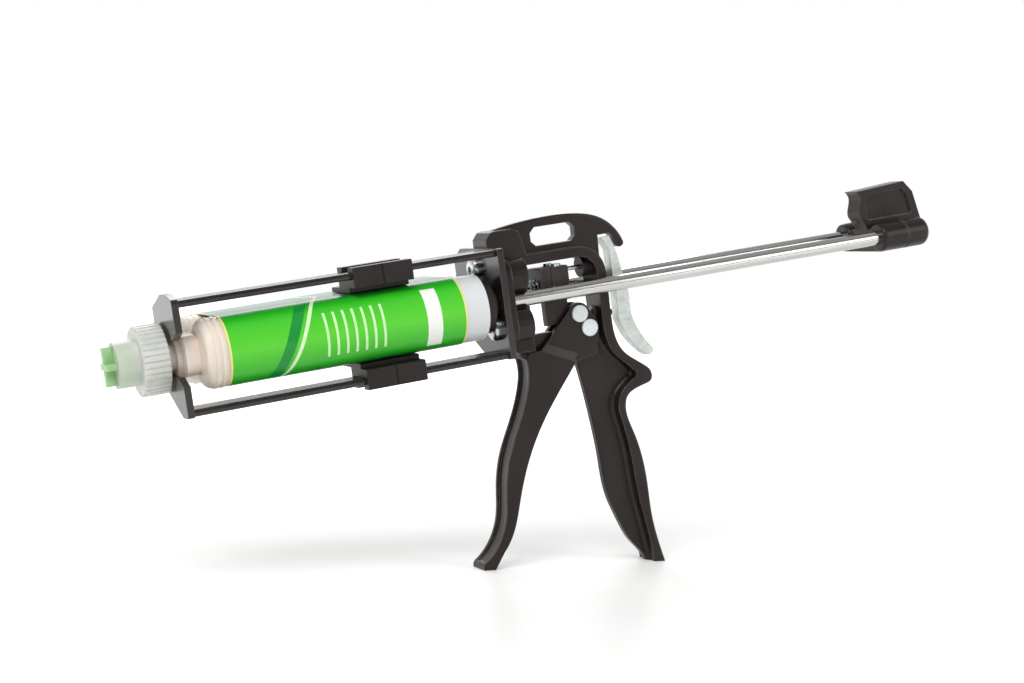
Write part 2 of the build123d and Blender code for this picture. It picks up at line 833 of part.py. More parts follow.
with BuildPart() as guide_bush:
    with BuildSketch(cross_plane(frame_front + guide_bush_rear, 0, guide_pin_height)):
        Circle(guide_bush_od / 2)
        Circle(guide_pin_diameter / 2 + running_gap, mode=Mode.SUBTRACT)
    extrude(amount=-guide_bush_length)
    groove_step = (guide_bush_length - guide_bush_seat) / (guide_bush_grooves + 1)
    for index in range(guide_bush_grooves):
        groove_place = guide_bush_rear - guide_bush_length + groove_step * (index + 0.75)
        with BuildSketch(cross_plane(frame_front + groove_place, 0, guide_pin_height)):
            Circle(guide_bush_od)
            Circle(guide_bush_od / 2 - guide_bush_groove, mode=Mode.SUBTRACT)
        extrude(amount=groove_step / 2, mode=Mode.SUBTRACT)
save(guide_bush, "guide_bush")


# Return spring: one wire wound on arcs, a pair of tangent arcs for each quarter turn
spring_front = window_front + spring_seat_gap
spring_length = block_front + spring_pocket - spring_seat_gap - spring_front
spring_radius = (spring_od - spring_wire) / 2
spring_pitch = (spring_length - spring_wire) / spring_turns


def coil_point(angle):
    place = frame_front + spring_front + spring_wire / 2 + spring_pitch * angle / (2 * pi)
    return point(place, spring_height + spring_radius * sin(angle), spring_radius * cos(angle))


def coil_tangent(angle):
    rise = spring_pitch / (2 * pi)
    return (
        axis_dir * rise + up_dir * (spring_radius * cos(angle)) - far_dir * (spring_radius * sin(angle))
    ).normalized()


def coil_arcs(turns):
    quarter = pi / 2
    for index in range(4 * turns):
        start, end = coil_point(index * quarter), coil_point((index + 1) * quarter)
        leave, arrive = coil_tangent(index * quarter), coil_tangent((index + 1) * quarter)
        chord = end - start
        along = chord.dot(leave + arrive)
        bend = 2 * (1 - leave.dot(arrive))
        reach = (sqrt(along**2 + bend * chord.dot(chord)) - along) / bend
        middle = (start + end + (leave - arrive) * reach) * 0.5
        TangentArc(start, middle, tangent=leave)
        TangentArc(middle, end, tangent=(chord - (leave + arrive) * reach).normalized())


with BuildPart() as return_spring:
    with BuildLine() as coil:
        coil_arcs(spring_turns)
    with BuildSketch(Plane(coil_point(0), x_dir=far_dir, z_dir=coil_tangent(0))):
        Circle(spring_wire / 2)
    sweep()
save(return_spring, "return_spring")
coil_samples = [coil_point(2 * pi * spring_turns * n / 400) for n in range(401)]
coil_gap = min(
    (coil_samples[m] - coil_samples[n]).length
    for n in range(401)
    for m in range(n + 40, 401)
)
print("least gap between the spring's turns", round(coil_gap - spring_wire, 2), "mm")

# Push rods, plain, gripped by the pawls' edges
for name, sign in (("push_rod_near", -1), ("push_rod_far", 1)):
    with BuildPart() as rod:
        with BuildSketch(cross_plane(rod_front, sign * barrel_offset)):
            Circle(rod_radius)
        extrude(amount=rod_length)
        with BuildSketch(cross_plane(rod_front, sign * barrel_offset)):
            Circle(plunger_screw_shank / 2 + running_gap)
        extrude(amount=plunger_screw_reach, mode=Mode.SUBTRACT)
        with BuildSketch(cross_plane(rod_rear, sign * barrel_offset)):
            Circle(plunger_screw_shank / 2 + running_gap)
        extrude(amount=-plunger_screw_reach, mode=Mode.SUBTRACT)
    save(rod, name)

# Plungers with a hub on each rod's front end
for name, sign in (("plunger_near", -1), ("plunger_far", 1)):
    with BuildPart() as plunger:
        with BuildSketch(cross_plane(plunger_front, sign * barrel_offset)):
            Circle(plunger_od / 2)
        extrude(amount=plunger_length)
        chamfer(plunger.edges().filter_by(GeomType.CIRCLE), plunger_edge)
        with BuildSketch(cross_plane(plunger_rear, sign * barrel_offset)):
            Circle(plunger_hub_od / 2)
        extrude(amount=carriage_span - rod_side_gap - plunger_rear)
        with BuildSketch(cross_plane(rod_front, sign * barrel_offset)):
            Circle(rod_radius)
        extrude(amount=carriage_span - rod_front, mode=Mode.SUBTRACT)
        with BuildSketch(cross_plane(plunger_front, sign * barrel_offset)):
            Circle(plunger_screw_head / 2 + running_gap)
        extrude(amount=plunger_screw_depth, mode=Mode.SUBTRACT)
    save(plunger, name)

with BuildPart() as plunger_screws:
    with BuildSketch(cross_plane(rod_front)):
        with Locations(*rod_places):
            Circle(plunger_screw_head / 2)
    extrude(amount=-plunger_screw_depth + bore_gap)
    with BuildSketch(cross_plane(rod_front)):
        with Locations(*rod_places):
            Circle(plunger_screw_shank / 2)
    extrude(amount=plunger_screw_reach - bore_gap)
save(plunger_screws, "plunger_screws")

# Yoke: a socket for each rod, a web between them and a grip to pull it back by
yoke_side = side_plane(yoke_front)
with BuildPart() as yoke:
    with BuildSketch(cross_plane(yoke_front)):
        with Locations(*rod_places):
            Circle(yoke_boss_od / 2)
    extrude(amount=yoke_length)
    ends = yoke.edges().filter_by(GeomType.CIRCLE).sort_by(Axis(point(0, 0), axis_dir))
    fillet(ends[-2:], yoke_end_radius)
    fillet(ends[:2], yoke_mouth_radius)
    with BuildSketch(cross_plane(yoke_rear - yoke_cap_length)):
        with Locations(*rod_places):
            Circle(yoke_boss_od / 2 + bore_gap)
            Circle(yoke_boss_od / 2 - yoke_cap_groove, mode=Mode.SUBTRACT)
    extrude(amount=yoke_cap_groove_width, mode=Mode.SUBTRACT)
    with BuildSketch(cross_plane(yoke_front + yoke_mouth_radius)):
        with Locations((0, (yoke_web_height - yoke_boss_od) / 2)):
            Rectangle(2 * barrel_offset, yoke_web_height)
    extrude(amount=yoke_length - yoke_mouth_radius - yoke_end_radius)
    with BuildSketch(yoke_side):
        with BuildLine():
            blade = Polyline(*yoke_blade)
            fingers = Spline(blade @ 1, *yoke_fingers)
            Polyline(fingers @ 1, yoke_throat, blade @ 0)
        make_face()
    extrude(amount=yoke_grip_thickness / 2, both=True)
    for sign in (-1, 1):
        with BuildSketch(side_plane(yoke_front, sign * (yoke_grip_thickness / 2 - yoke_panel_depth))):
            with BuildLine():
                Polyline(*yoke_panel, close=True)
            make_face()
            fillet(vertices(), yoke_panel_radius)
        extrude(amount=-sign * 2 * yoke_panel_depth, mode=Mode.SUBTRACT)
    with BuildSketch(cross_plane(yoke_front)):
        with Locations(*rod_places):
            Circle(rod_radius)
    extrude(amount=yoke_socket_depth, mode=Mode.SUBTRACT)
    with BuildSketch(cross_plane(yoke_rear)):
        with Locations(*rod_places):
            Circle(plunger_screw_shank / 2 + running_gap)
    extrude(amount=-yoke_length, mode=Mode.SUBTRACT)
    with BuildSketch(cross_plane(yoke_rear)):
        with Locations(*rod_places):
            Circle(yoke_screw_head / 2 + bore_gap)
    extrude(amount=yoke_screw_seat - yoke_rear, mode=Mode.SUBTRACT)
save(yoke, "yoke")

with BuildPart() as yoke_screws:
    with BuildSketch(cross_plane(yoke_screw_seat)):
        with Locations(*rod_places):
            Circle(yoke_screw_head / 2)
    extrude(amount=yoke_screw_height)
    with BuildSketch(cross_plane(yoke_screw_seat)):
        with Locations(*rod_places):
            Circle(plunger_screw_shank / 2)
    extrude(amount=rod_rear - yoke_screw_seat - plunger_screw_reach + bore_gap)
    with BuildSketch(cross_plane(yoke_screw_seat + yoke_screw_height)):
        with Locations(*rod_places):
            RegularPolygon(yoke_screw_head / 4, 6)
    extrude(amount=-yoke_screw_height * 0.6, mode=Mode.SUBTRACT)
save(yoke_screws, "yoke_screws")


# Release lever: sheet channel tucked under the frame's hook, with a curved thumb tail
def lever_outline():
    face = Polyline(*lever_face)
    tail = Spline(face @ 1, *lever_tail)
    back = Spline(*lever_back)
    Polyline(tail @ 1, back @ 0)
    Polyline(back @ 1, *lever_crown, face @ 0)


def lever_hollow():
    floor = Polyline(*lever_floor)
    trough = Spline(floor @ 1, *lever_trough)
    Polyline(trough @ 1, *lever_mouth, floor @ 0)


with BuildPart() as release_lever:
    with BuildSketch(frame_side):
        with BuildLine():
            lever_outline()
        make_face()
    extrude(amount=lever_half, both=True)
    with BuildSketch(frame_side):
        with BuildLine():
            lever_hollow()
        make_face()
    extrude(amount=lever_half - lever_sheet, both=True, mode=Mode.SUBTRACT)
save(release_lever, "release_lever")

# Cartridge: two barrels, a manifold, a locating collar and a neck with two outlets
with BuildPart() as cartridge_body:
    with BuildSketch(cross_plane(barrel_front)):
        with Locations(*rod_places):
            Circle(barrel_radius)
    extrude(amount=barrel_length)
    rims = cartridge_body.edges().filter_by(GeomType.CIRCLE).sort_by(Axis(point(0, 0), axis_dir))
    fillet(rims[:2], barrel_shoulder_radius)
    with BuildSketch(cross_plane(barrel_front)):
        Rectangle(2 * barrel_offset, barrel_web_height)
    extrude(amount=barrel_length)
    with BuildSketch(cross_plane(barrel_front + barrel_shoulder_radius)):
        RectangleRounded(manifold_width, manifold_height, manifold_height / 3)
    extrude(amount=-manifold_length - barrel_shoulder_radius)
    with BuildSketch(cross_plane(plate_thickness)):
        Circle(collar_od / 2)
    extrude(amount=collar_length)
    with BuildSketch(cross_plane(plate_thickness)):
        Circle(neck_od / 2)
    extrude(amount=-plate_thickness - neck_reach)
    for index in range(barrel_ridge_count):
        with BuildSketch(cross_plane(label_front - barrel_ridge_pitch * (index + 1))):
            with Locations(*rod_places):
                Circle(barrel_radius + barrel_ridge_height)
        extrude(amount=barrel_ridge_width)
    with BuildSketch(cross_plane(barrel_rear)):
        with Locations(*rod_places):
            Circle(barrel_bore / 2)
    extrude(amount=barrel_end_wall - barrel_length, mode=Mode.SUBTRACT)
    with BuildSketch(cross_plane(-neck_reach)):
        with Locations((-outlet_offset, 0), (outlet_offset, 0)):
            Circle(outlet_bore / 2)
    extrude(amount=neck_reach + barrel_front + barrel_end_wall, mode=Mode.SUBTRACT)
save(cartridge_body, "cartridge_body")

# Printed sleeve round both barrels
with BuildPart() as cartridge_label:
    with BuildSketch(cross_plane(label_front)):
        SlotCenterToCenter(2 * barrel_offset, 2 * label_radius)
        SlotCenterToCenter(2 * barrel_offset, 2 * (barrel_radius + label_gap), mode=Mode.SUBTRACT)
    extrude(amount=label_length)
save(cartridge_label, "cartridge_label")

# Pistons, dished behind, each with a round seal in a groove
piston_radius = barrel_bore / 2 - piston_bore_gap
seal_radius = barrel_bore / 2 - running_gap - seal_wire / 2
seal_place = piston_front + seal_from_front
for name, sign in (("piston_near", -1), ("piston_far", 1)):
    with BuildPart() as piston:
        with BuildSketch(cross_plane(piston_front, sign * barrel_offset)):
            Circle(piston_radius)
        extrude(amount=piston_length)
        with BuildSketch(cross_plane(plunger_front, sign * barrel_offset)):
            Circle(piston_dish_diameter / 2)
        extrude(amount=-piston_dish_depth, mode=Mode.SUBTRACT)
        with BuildSketch(cross_plane(seal_place - seal_wire / 2, sign * barrel_offset)):
            Circle(barrel_radius)
            Circle(seal_radius - seal_wire / 2, mode=Mode.SUBTRACT)
        extrude(amount=seal_wire, mode=Mode.SUBTRACT)
    save(piston, name)

with BuildPart() as piston_seals:
    for sign in (-1, 1):
        seal_axis = Axis(point(seal_place, 0, sign * barrel_offset), axis_dir)
        with BuildSketch(side_plane(seal_place, sign * barrel_offset)):
            with Locations((0, seal_radius)):
                Circle(seal_wire / 2)
        revolve(axis=seal_axis)
save(piston_seals, "piston_seals")

# Retaining nut with a ribbed skirt and a plain collar
nut_rear = -nut_plate_gap
nut_front = nut_rear - nut_length
collar_front = nut_front - nut_collar_length
plug_flange_rear = -neck_reach
with BuildPart() as retaining_nut:
    with BuildSketch(cross_plane(nut_rear)):
        Circle(nut_od / 2)
    extrude(amount=-nut_length)
    fillet(retaining_nut.edges().sort_by(Axis(point(0, 0), axis_dir))[0], nut_edge_radius)
    with BuildSketch(cross_plane(nut_rear)):
        with PolarLocations(nut_od / 2, nut_rib_count):
            Circle(nut_groove_radius)
    extrude(amount=-nut_length, mode=Mode.SUBTRACT)
    with BuildSketch(cross_plane(nut_front)):
        Circle(nut_collar_od / 2)
    extrude(amount=-nut_collar_length)
    with BuildSketch(cross_plane(nut_rear)):
        Circle(neck_od / 2 + running_gap)
    extrude(amount=nut_front + nut_front_wall - nut_rear, mode=Mode.SUBTRACT)
    with BuildSketch(cross_plane(collar_front)):
        Circle(plug_od / 2 + running_gap)
    extrude(amount=nut_length, mode=Mode.SUBTRACT)
save(retaining_nut, "retaining_nut")

# Outlet plug with a flange inside the nut and a cross tab in front
with BuildPart() as outlet_plug:
    with BuildSketch(cross_plane(plug_flange_rear)):
        Circle(neck_od / 2)
    extrude(amount=nut_front + nut_front_wall + bore_gap - plug_flange_rear)
    with BuildSketch(cross_plane(plug_flange_rear)):
        Circle(plug_od / 2)
    extrude(amount=collar_front - bore_gap - plug_flange_rear)
    with BuildSketch(cross_plane(collar_front - bore_gap)):
        Rectangle(plug_tab_thickness, plug_tab_height)
        Rectangle(plug_od, plug_tab_thickness)
    extrude(amount=-plug_tab_reach)
save(outlet_plug, "outlet_plug")
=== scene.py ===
import json
import math

import bpy
from mathutils import Matrix, Vector


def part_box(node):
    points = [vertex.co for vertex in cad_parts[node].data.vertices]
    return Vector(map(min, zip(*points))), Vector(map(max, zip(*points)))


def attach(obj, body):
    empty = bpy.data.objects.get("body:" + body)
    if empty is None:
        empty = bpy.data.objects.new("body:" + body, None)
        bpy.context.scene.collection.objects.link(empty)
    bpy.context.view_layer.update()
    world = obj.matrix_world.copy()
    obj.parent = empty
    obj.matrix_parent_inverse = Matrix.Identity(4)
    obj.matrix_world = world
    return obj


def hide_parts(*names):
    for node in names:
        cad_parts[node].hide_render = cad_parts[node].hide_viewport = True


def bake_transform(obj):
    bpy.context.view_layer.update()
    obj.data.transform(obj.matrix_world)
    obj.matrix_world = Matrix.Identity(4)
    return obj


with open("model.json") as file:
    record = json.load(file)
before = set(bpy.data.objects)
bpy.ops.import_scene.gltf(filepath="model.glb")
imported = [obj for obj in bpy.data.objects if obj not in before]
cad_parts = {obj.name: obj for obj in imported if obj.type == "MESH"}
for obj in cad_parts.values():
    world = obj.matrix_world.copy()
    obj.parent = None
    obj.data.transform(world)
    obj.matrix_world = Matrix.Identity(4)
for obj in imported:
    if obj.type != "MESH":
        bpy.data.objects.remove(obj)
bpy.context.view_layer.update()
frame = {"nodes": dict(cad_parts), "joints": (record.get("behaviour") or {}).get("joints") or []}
nodes = frame["nodes"]
print("frame loaded:", len(nodes), "nodes")

mm = 0.001


def inMetres(millimetres):
    return [size * mm for size in millimetres]


# sRGB hex to the linear colour that the shaders want
def hexColour(code):
    channels = [int(code[i:i + 2], 16) / 255 for i in (1, 3, 5)]
    linear = [c / 12.92 if c <= 0.04045 else ((c + 0.055) / 1.055) ** 2.4 for c in channels]
    return (*linear, 1.0)


# adds one node: settings go to its attributes, inputs take values or another node's output,
# and stops are the places and hex colours of a ramp
def addNode(tree, kind, settings=None, inputs=None, stops=()):
    node = tree.nodes.new(kind)
    for key, value in (settings or {}).items():
        setattr(node, key, value)
    for key, value in (inputs or {}).items():
        if isinstance(value, bpy.types.NodeSocket):
            tree.links.new(value, node.inputs[key])
        else:
            node.inputs[key].default_value = value
    for _ in stops[2:]:   # a new ramp has two stops
        node.color_ramp.elements.new(0.5)
    for i, (place, colour) in enumerate(stops):
        node.color_ramp.elements[i].position = place
        node.color_ramp.elements[i].color = hexColour(colour)
    return node


def newMaterial(name, values):
    material = bpy.data.materials.new(name)
    material.use_nodes = True
    tree = material.node_tree
    shader = tree.nodes["Principled BSDF"]
    for key, value in values.items():
        shader.inputs[key].default_value = value
    return material, tree, shader


# the barrels' axis, pointing to the rear: the rods' slide joint pushes forward along it
rodJoint = next(joint for joint in frame["joints"] if joint["name"] == "rod_push")
axisDir = -Vector(rodJoint["axis"])
upDir = Vector((-axisDir.z, 0, axisDir.x))
noseDip = math.atan2(axisDir.z, axisDir.x)


# gives Object coordinates turned so that x runs along the barrels, in metres
def barrelCoords(tree):
    place = addNode(tree, "ShaderNodeTexCoord")
    return addNode(
        tree, "ShaderNodeMapping", {"vector_type": "POINT"},
        {"Vector": place.outputs["Object"], "Rotation": (0, noseDip, 0)},
    ).outputs["Vector"]


# reads where a node starts and ends along the barrels, in metres
def reachAlong(nodeName):
    places = [vertex.co.dot(axisDir) for vertex in nodes[nodeName].data.vertices]
    return min(places), max(places)


def middleOf(nodeName):
    low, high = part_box(nodeName)
    return (low + high) / 2


# powder coat on a die casting: thick satin skin with a faint orange peel, and a painted highlight, lighter
# and in patches, along its edges
castingCoat = {
    "colour": "#1c1412", "lightColour": "#28201d", "cloudMm": 28.0, "cloudStops": (0.3, 0.7),
    "roughness": 0.29, "glossSpread": (0.06, 0.08), "ior": 1.5, "specular": 0.3,
    "coat": 0.0, "coatRoughness": 0.12, "peelMm": 0.9, "bumpMm": 0.03, "bumpStrength": 0.35,
    # a painted edge highlight: its colour and share on this line, its patches on the next
    "edgeHighlightColour": "#8c8079", "edgeHighlightShare": 0.7, "edgeMm": 0.9, "edgeSamples": 6, "edgeFacing": (0.98, 0.8),
    "highlightPatchMm": 6.0, "highlightPatchRange": (0.35, 0.62), "highlightPatchLeast": 0.25,
}
# the plates and bars are smoother sheet under the same coat, with the same painted edge highlight
plateCoat = dict(castingCoat, colour="#1c1615", lightColour="#282120", roughness=0.24, specular=0.5,
                 coat=0.15, peelMm=0.6, bumpMm=0.01, edgeMm=0.6)
# glass-filled nylon: dull, with a faint painted edge highlight and a spark-eroded grain that is drawn coarser
# than real so that it shows
nylonSkin = dict(castingCoat, colour="#1c1614", lightColour="#28201e", roughness=0.44, specular=0.3,
                 peelMm=0.5, edgeMm=0.4, edgeHighlightShare=0.2)
# drive block: black-oxide sintered steel, dull and cloudy, with the same painted edge highlight, its grain
# drawn coarser than real so that it shows
oxideSteel = dict(castingCoat, colour="#2b2421", lightColour="#3a322e", roughness=0.4, peelMm=0.45,
                  cloudMm=9.0)


def powderCoat(name, look):
    material, tree, shader = newMaterial(name, {
        "IOR": look["ior"], "Specular IOR Level": look["specular"],
        "Coat Weight": look["coat"], "Coat Roughness": look["coatRoughness"],
    })
    place = addNode(tree, "ShaderNodeTexCoord").outputs["Object"]
    cloud = addNode(tree, "ShaderNodeTexNoise", None,
                    {"Vector": place, "Scale": 1 / (look["cloudMm"] * mm), "Detail": 3.0})
    tint = addNode(tree, "ShaderNodeValToRGB", None, {"Fac": cloud.outputs["Fac"]},
                   list(zip(look["cloudStops"], (look["colour"], look["lightColour"]))))
    # edges: where a rounded copy of the surface turns away from the flat one, a painted highlight lightens
    # the colour
    rounded = addNode(tree, "ShaderNodeBevel", {"samples": look["edgeSamples"]},
                      {"Radius": look["edgeMm"] * mm})
    flat = addNode(tree, "ShaderNodeNewGeometry")
    facing = addNode(tree, "ShaderNodeVectorMath", {"operation": "DOT_PRODUCT"},
                     {0: rounded.outputs["Normal"], 1: flat.outputs["Normal"]})
    edge = addNode(tree, "ShaderNodeMapRange", None, {
        "Value": facing.outputs["Value"], "From Min": look["edgeFacing"][0],
        "From Max": look["edgeFacing"][1], "To Max": look["edgeHighlightShare"],
    })
    highlightPatches = addNode(tree, "ShaderNodeTexNoise", None,
                  {"Vector": place, "Scale": 1 / (look["highlightPatchMm"] * mm), "Detail": 4.0, "Roughness": 0.65})
    patchy = addNode(tree, "ShaderNodeMapRange", None, {
        "Value": highlightPatches.outputs["Fac"], "From Min": look["highlightPatchRange"][0], "From Max": look["highlightPatchRange"][1],
        "To Min": look["highlightPatchLeast"],
    })
    # painted highlight: the edge mask, broken into patches, mixes the light edge colour over the coat
    highlightMask = addNode(tree, "ShaderNodeMath", {"operation": "MULTIPLY"},
                   {0: edge.outputs["Result"], 1: patchy.outputs["Result"]})
    skin = addNode(tree, "ShaderNodeMix", {"data_type": "RGBA"}, {
        "Factor": highlightMask.outputs["Value"], "A": tint.outputs["Color"], "B": hexColour(look["edgeHighlightColour"]),
    })
    peel = addNode(tree, "ShaderNodeTexNoise", None,
                   {"Vector": place, "Scale": 1 / (look["peelMm"] * mm), "Detail": 2.0})
    gloss = addNode(tree, "ShaderNodeMapRange", None, {
        "Value": peel.outputs["Fac"], "To Min": look["roughness"] - look["glossSpread"][0],
        "To Max": look["roughness"] + look["glossSpread"][1],
    })
    bump = addNode(tree, "ShaderNodeBump", None, {
        "Height": peel.outputs["Fac"], "Strength": look["bumpStrength"], "Distance": look["bumpMm"] * mm,
        "Normal": rounded.outputs["Normal"],
    })
    tree.links.new(skin.outputs["Result"], shader.inputs["Base Color"])
    tree.links.new(gloss.outputs["Result"], shader.inputs["Roughness"])
    tree.links.new(bump.outputs["Normal"], shader.inputs["Normal"])
    return material


# drawn bar with bright zinc plate: hairlines run along the rod, drawn coarser than real so that they show
rodPlate = {
    "colour": "#d3d2cf", "darkColour": "#b1b0ad", "stops": (0.25, 0.65), "metal": 1.0, "anisotropy": 0.25,
    "roughness": 0.17, "glossSpread": (0.1, 0.08), "lineMm": 0.35, "runMm": 60.0, "bumpMm": 0.01,
    "bumpStrength": 0.12,
}
# bright zinc on screws, pawls, roller, guide pin and spring: bluish, softly mottled
zincPlate = dict(rodPlate, colour="#cfd3d6", darkColour="#aab0b5", roughness=0.26, lineMm=1.6, runMm=2.4)
# flat pin heads: the same zinc under a white chromate film, which scatters the light
pinPlate = dict(rodPlate, colour="#e6ebec", darkColour="#d3d9db", metal=0.35, roughness=0.38, lineMm=1.2,
                runMm=1.8)
# pressed sheet lever, zinc with a pale passivation tint
leverPlate = dict(rodPlate, colour="#d9ddd9", darkColour="#b9c0bb", metal=0.8, roughness=0.32, lineMm=4.0,
                  runMm=6.0)


def platedSteel(name, look):
    material, tree, shader = newMaterial(name, {"Metallic": look["metal"], "Anisotropic": look["anisotropy"]})
    lengthwise = 1 / (look["runMm"] * mm)
    crosswise = 1 / (look["lineMm"] * mm)
    stretch = addNode(tree, "ShaderNodeMapping", None,
                      {"Vector": barrelCoords(tree), "Scale": (lengthwise, crosswise, crosswise)})
    lines = addNode(tree, "ShaderNodeTexNoise", None,
                    {"Vector": stretch.outputs["Vector"], "Scale": 1.0, "Detail": 4.0, "Roughness": 0.6})
    tint = addNode(tree, "ShaderNodeValToRGB", None, {"Fac": lines.outputs["Fac"]},
                   list(zip(look["stops"], (look["darkColour"], look["colour"]))))
    gloss = addNode(tree, "ShaderNodeMapRange", None, {
        "Value": lines.outputs["Fac"], "To Min": look["roughness"] + look["glossSpread"][0],
        "To Max": look["roughness"] - look["glossSpread"][1],
    })
    bump = addNode(tree, "ShaderNodeBump", None, {
        "Height": lines.outputs["Fac"], "Strength": look["bumpStrength"], "Distance": look["bumpMm"] * mm,
    })
    tree.links.new(tint.outputs["Color"], shader.inputs["Base Color"])
    tree.links.new(gloss.outputs["Result"], shader.inputs["Roughness"])
    tree.links.new(bump.outputs["Normal"], shader.inputs["Normal"])
    return material


# milky polypropylene: light goes into the wall, and the fill shows through near the front
barrelWall = {
    "colour": "#e6e4e2", "roughness": 0.32, "ior": 1.49, "scatter": 0.6, "scatterMm": (7.0, 5.0, 3.5),
    "fillColour": "#fbdfc6", "fillMm": (-12.0, -7.0, 1.0, 9.0), "fillShare": 0.75, "neckShare": 0.4,
    "swirlMm": 9.0, "waverMm": 4.0,
}


def milkyBarrel(name, look):
    material, tree, shader = newMaterial(name, {
        "Roughness": look["roughness"], "IOR": look["ior"], "Subsurface Weight": look["scatter"],
        "Subsurface Radius": inMetres(look["scatterMm"]), "Subsurface Scale": 1.0,
    })
    along = barrelCoords(tree)
    swirl = addNode(tree, "ShaderNodeTexNoise", None,
                    {"Vector": along, "Scale": 1 / (look["swirlMm"] * mm), "Detail": 2.0})
    run = addNode(tree, "ShaderNodeSeparateXYZ", None, {"Vector": along}).outputs["X"]
    shifted = addNode(tree, "ShaderNodeMath", {"operation": "MULTIPLY_ADD"},
                      {0: swirl.outputs["Fac"], 1: look["waverMm"] * mm, 2: run})
    sleeveFront = reachAlong("cartridge_label")[0]
    neckEnd, shoulder, fadeStart, fadeEnd = [sleeveFront + place for place in inMetres(look["fillMm"])]
    rising = addNode(tree, "ShaderNodeMapRange", None, {
        "Value": shifted.outputs["Value"], "From Min": neckEnd, "From Max": shoulder,
        "To Min": look["neckShare"], "To Max": look["fillShare"],
    })
    fading = addNode(tree, "ShaderNodeMapRange", None, {
        "Value": shifted.outputs["Value"], "From Min": fadeStart, "From Max": fadeEnd,
        "To Min": 1.0, "To Max": 0.0,
    })
    share = addNode(tree, "ShaderNodeMath", {"operation": "MULTIPLY"},
                    {0: rising.outputs["Result"], 1: fading.outputs["Result"]})
    tint = addNode(tree, "ShaderNodeMix", {"data_type": "RGBA"}, {
        "Factor": share.outputs["Value"], "A": hexColour(look["colour"]), "B": hexColour(look["fillColour"]),
    })
    tree.links.new(tint.outputs["Result"], shader.inputs["Base Color"])
    return material


# moulded polyethylene, waxy and half clear: light goes in, and a green plug behind it tints the nut's collar
nutSkin = {
    "colour": "#dcdfd9", "paleColour": "#eceee9", "cloudMm": 7.0, "cloudStops": (0.3, 0.7),
    "glowColour": "#cfddc8", "glowMm": (4.0, 13.0), "glowShare": 0.85,
    "roughness": 0.36, "ior": 1.51, "clear": 0.22, "scatter": 0.35, "scatterMm": (3.0, 3.0, 2.5),
    "grainMm": 0.8, "bumpMm": 0.02, "bumpStrength": 0.2,
}
plugSkin = dict(nutSkin, colour="#9fd090", paleColour="#bbe0ae", glowColour="#aedaa0", glowMm=(0.0, 1.0),
                clear=0.2)


def waxyPlastic(name, nodeName, look):
    material, tree, shader = newMaterial(name, {
        "Roughness": look["roughness"], "IOR": look["ior"], "Transmission Weight": look["clear"],
        "Subsurface Weight": look["scatter"], "Subsurface Radius": inMetres(look["scatterMm"]),
        "Subsurface Scale": 1.0,
    })
    along = barrelCoords(tree)
    cloud = addNode(tree, "ShaderNodeTexNoise", None,
                    {"Vector": along, "Scale": 1 / (look["cloudMm"] * mm), "Detail": 2.0})
    tint = addNode(tree, "ShaderNodeValToRGB", None, {"Fac": cloud.outputs["Fac"]},
                   list(zip(look["cloudStops"], (look["colour"], look["paleColour"]))))
    front = reachAlong(nodeName)[0]
    glowStart, glowEnd = [front + place for place in inMetres(look["glowMm"])]
    run = addNode(tree, "ShaderNodeSeparateXYZ", None, {"Vector": along}).outputs["X"]
    share = addNode(tree, "ShaderNodeMapRange", {"interpolation_type": "SMOOTHSTEP"}, {
        "Value": run, "From Min": glowStart, "From Max": glowEnd, "To Min": look["glowShare"], "To Max": 0.0,
    })
    skin = addNode(tree, "ShaderNodeMix", {"data_type": "RGBA"}, {
        "Factor": share.outputs["Result"], "A": tint.outputs["Color"], "B": hexColour(look["glowColour"]),
    })
    grain = addNode(tree, "ShaderNodeTexNoise", None,
                    {"Vector": along, "Scale": 1 / (look["grainMm"] * mm), "Detail": 2.0})
    bump = addNode(tree, "ShaderNodeBump", None, {
        "Height": grain.outputs["Fac"], "Strength": look["bumpStrength"], "Distance": look["bumpMm"] * mm,
    })
    tree.links.new(skin.outputs["Result"], shader.inputs["Base Color"])
    tree.links.new(bump.outputs["Normal"], shader.inputs["Normal"])
    return material


# pieces that lie inside have only a fine grain in their colour: moulded white pistons
pistonSkin = {"colour": "#d9d9d3", "paleColour": "#e4e4df", "metal": 0.0, "roughness": 0.45,
              "grainMm": 1.2, "stops": (0.35, 0.65)}
# nitrile rubber seals: matt and nearly black
sealRubber = dict(pistonSkin, colour="#131313", paleColour="#1c1c1c", roughness=0.6)
# sintered bronze bushes: dull gold
bushBronze = dict(pistonSkin, colour="#9b7443", paleColour="#b08a55", metal=1.0)


def grainySkin(name, look):
    material, tree, shader = newMaterial(name, {"Metallic": look["metal"], "Roughness": look["roughness"]})
    place = addNode(tree, "ShaderNodeTexCoord").outputs["Object"]
    grain = addNode(tree, "ShaderNodeTexNoise", None,
                    {"Vector": place, "Scale": 1 / (look["grainMm"] * mm), "Detail": 2.0})
    tint = addNode(tree, "ShaderNodeValToRGB", None, {"Fac": grain.outputs["Fac"]},
                   list(zip(look["stops"], (look["colour"], look["paleColour"]))))
    tree.links.new(tint.outputs["Color"], shader.inputs["Base Color"])
    return material


